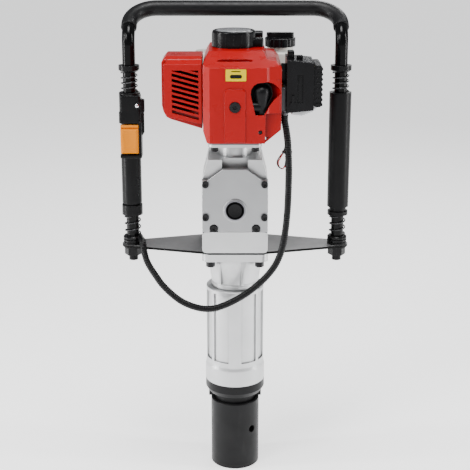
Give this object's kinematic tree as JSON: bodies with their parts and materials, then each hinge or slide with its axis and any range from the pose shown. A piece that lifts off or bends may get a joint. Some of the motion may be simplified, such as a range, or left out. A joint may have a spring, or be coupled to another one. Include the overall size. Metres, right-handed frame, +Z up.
{
  "type": "petrol post driver",
  "caption": "Hand-held petrol post driver: engine over a bevel gearbox and percussion cylinder with a steel post sleeve, carried by a U-shaped handlebar with sprung grips.",
  "frame": {"origin": "centre of the post sleeve's lower mouth", "axes": "+Z up along the percussion axis, -Y toward the front with the gearbox cover, +X toward the air filter"},
  "size_m": [0.397, 0.23, 0.838],
  "materials": {
    "blackened_steel": "oxide-blackened steel, satin, light scuffs",
    "machined_steel": "turned and ground steel",
    "gear_steel": "hardened gear steel, oiled",
    "spring_steel": "oiled spring wire",
    "collar_steel": "black satin paint",
    "black_rubber": "moulded black rubber",
    "cast_aluminium": "shot-blasted cast aluminium",
    "machined_aluminium": "milled aluminium",
    "plate_steel": "cut steel plate, clear zinc",
    "black_bolts": "black oxide bolts",
    "black_plastic": "moulded black nylon",
    "red_plastic": "glossy red moulded plastic",
    "plug_ceramic": "plug steel and white insulator",
    "muffler_steel": "pressed steel with heat tint",
    "zinc_casting": "die-cast zinc",
    "brass": "turned brass",
    "filter_foam": "open-cell filter foam",
    "tank_plastic": "translucent white polyethylene",
    "rope": "braided starter rope",
    "black_paint": "glossy black powder coat",
    "foam": "closed-cell foam sleeve",
    "black_fittings": "black fittings and bushes",
    "grip_plastic": "textured black plastic",
    "orange_plastic": "orange moulded trigger",
    "button_metal": "plated button",
    "grip_rubber": "smooth black rubber grip",
    "conduit_plastic": "black corrugated conduit",
    "wire_plastic": "red and black insulated wires"
  },
  "bodies": {
    "frame": {"nose_collar": "collar_steel", "nose_rubbers": "black_rubber", "cylinder_tube": "cast_aluminium", "percussion_neck": "cast_aluminium", "handle_plate": "plate_steel", "frame_bolts": "black_bolts", "gearbox_housing": "cast_aluminium", "gearbox_cover": "machined_aluminium", "cover_screws": "black_bolts", "crank_plug": "black_plastic", "shaft_bearings": "machined_steel", "clutch_housing": "cast_aluminium", "crankcase": "cast_aluminium", "engine_cylinder": "cast_aluminium", "spark_plug": "plug_ceramic", "plug_boot": "black_rubber", "engine_shroud": "red_plastic", "shroud_bolt": "black_bolts", "muffler": "muffler_steel", "muffler_cover": "red_plastic", "carburettor": "zinc_casting", "air_box": "black_plastic", "filter_element": "filter_foam", "filter_cover": "black_plastic", "fuel_tank": "tank_plastic", "starter_housing": "black_plastic", "handlebar": "black_paint", "bar_foam": "foam", "leg_fittings": "black_fittings", "spring_left_top": "spring_steel", "spring_left_low": "spring_steel", "spring_right_top": "spring_steel", "spring_right_low": "spring_steel", "throttle_conduit": "conduit_plastic", "stop_wires": "wire_plastic"},
    "sleeve": {"post_sleeve": "blackened_steel", "anvil": "blackened_steel", "sleeve_ring": "spring_steel"},
    "striker": {"ram": "machined_steel"},
    "piston": {"drive_piston": "machined_steel"},
    "crank": {"drive_crank": "machined_steel", "bevel_gear": "gear_steel"},
    "rod": {"hammer_rod": "machined_steel"},
    "pinion": {"bevel_pinion": "gear_steel", "clutch_drum": "machined_steel"},
    "engine_shaft": {"engine_crankshaft": "machined_steel", "clutch_shoes": "gear_steel", "flywheel": "cast_aluminium"},
    "engine_piston": {"engine_piston": "machined_aluminium"},
    "engine_rod": {"engine_conrod": "machined_steel"},
    "valve": {"throttle_valve": "brass"},
    "choke": {"choke_lever": "black_plastic"},
    "cap": {"fuel_cap": "black_plastic"},
    "pulley": {"starter_pulley": "black_plastic"},
    "puller": {"pull_handle": "black_plastic", "starter_rope": "rope"},
    "left_grip": {"throttle_grip": "grip_plastic"},
    "trigger": {"throttle_trigger": "orange_plastic"},
    "button": {"stop_button": "button_metal"},
    "right_grip": {"right_grip": "grip_rubber"}
  },
  "joints": [
    {"name": "sleeve_slide", "type": "slide", "parent": "frame", "child": "sleeve", "axis": [0, 0, 1], "range_m": [-0.016, 0]},
    {"name": "striker_slide", "type": "slide", "parent": "frame", "child": "striker", "axis": [0, 0, 1], "range_m": [0, 0.03]},
    {"name": "piston_slide", "type": "slide", "parent": "frame", "child": "piston", "axis": [0, 0, 1], "range_m": [0, 0.024]},
    {"name": "crank_spin", "type": "hinge", "parent": "frame", "child": "crank", "pos_m": [0, 0, 0.497], "axis": [0, 1, 0], "continuous": true},
    {"name": "rod_pivot", "type": "hinge", "parent": "crank", "child": "rod", "pos_m": [0, 0, 0.485], "axis": [0, 1, 0], "continuous": true},
    {"name": "pinion_spin", "type": "hinge", "parent": "frame", "child": "pinion", "pos_m": [0, 0, 0.57], "axis": [0, 0, 1], "continuous": true},
    {"name": "engine_spin", "type": "hinge", "parent": "frame", "child": "engine_shaft", "pos_m": [0, 0, 0.684], "axis": [0, 0, 1], "continuous": true},
    {"name": "engine_piston_slide", "type": "slide", "parent": "frame", "child": "engine_piston", "axis": [0, 1, 0], "range_m": [0, 0.03]},
    {"name": "engine_rod_pivot", "type": "hinge", "parent": "engine_piston", "child": "engine_rod", "pos_m": [0, -0.065, 0.684], "axis": [0, 0, 1], "range_deg": [-17, 17]},
    {"name": "valve_turn", "type": "hinge", "parent": "frame", "child": "valve", "pos_m": [0.073, -0.058, 0.69], "axis": [0, 0, -1], "range_deg": [0, 70]},
    {"name": "choke_turn", "type": "hinge", "parent": "frame", "child": "choke", "pos_m": [0.094, -0.09, 0.684], "axis": [0, 1, 0], "range_deg": [0, 75]},
    {"name": "cap_turn", "type": "hinge", "parent": "frame", "child": "cap", "pos_m": [0.079, 0.081, 0.765], "axis": [0, 0, 1], "range_deg": [0, 360]},
    {"name": "pull_slide", "type": "slide", "parent": "frame", "child": "puller", "axis": [0, 1, 0], "range_m": [0, 0.45], "stiffness_N_per_m": 20, "springref_m": -0.3},
    {"name": "pulley_turn", "type": "hinge", "parent": "frame", "child": "pulley", "pos_m": [0, 0, 0.781], "axis": [0, 0, 1], "range_deg": [0, 1230]},
    {"name": "left_grip_slide", "type": "slide", "parent": "frame", "child": "left_grip", "axis": [0, 0, 1], "range_m": [-0.01, 0.01], "stiffness_N_per_m": 8000, "deforming": ["spring_left_top", "spring_left_low"]},
    {"name": "right_grip_slide", "type": "slide", "parent": "frame", "child": "right_grip", "axis": [0, 0, 1], "range_m": [-0.01, 0.01], "stiffness_N_per_m": 8000, "deforming": ["spring_right_top", "spring_right_low"]},
    {"name": "trigger_pull", "type": "hinge", "parent": "left_grip", "child": "trigger", "pos_m": [-0.1795, -0.0175, 0.633], "axis": [1, 0, 0], "range_deg": [0, 8], "stiffness_Nm_per_rad": 0.5, "springref_deg": -17.19},
    {"name": "button_press", "type": "slide", "parent": "left_grip", "child": "button", "axis": [0, 1, 0], "range_m": [0, 0.002], "stiffness_N_per_m": 800, "springref_m": -0.001}
  ],
  "couplings": [
    {"joint": "rod_pivot", "follows": "crank_spin", "ratio": -1},
    {"joint": "pinion_spin", "follows": "crank_spin", "ratio": -4},
    {"joint": "valve_turn", "follows": "trigger_pull", "ratio": 8.7},
    {"joint": "pulley_turn", "follows": "pull_slide", "rad_per_m": 47.619}
  ]
}
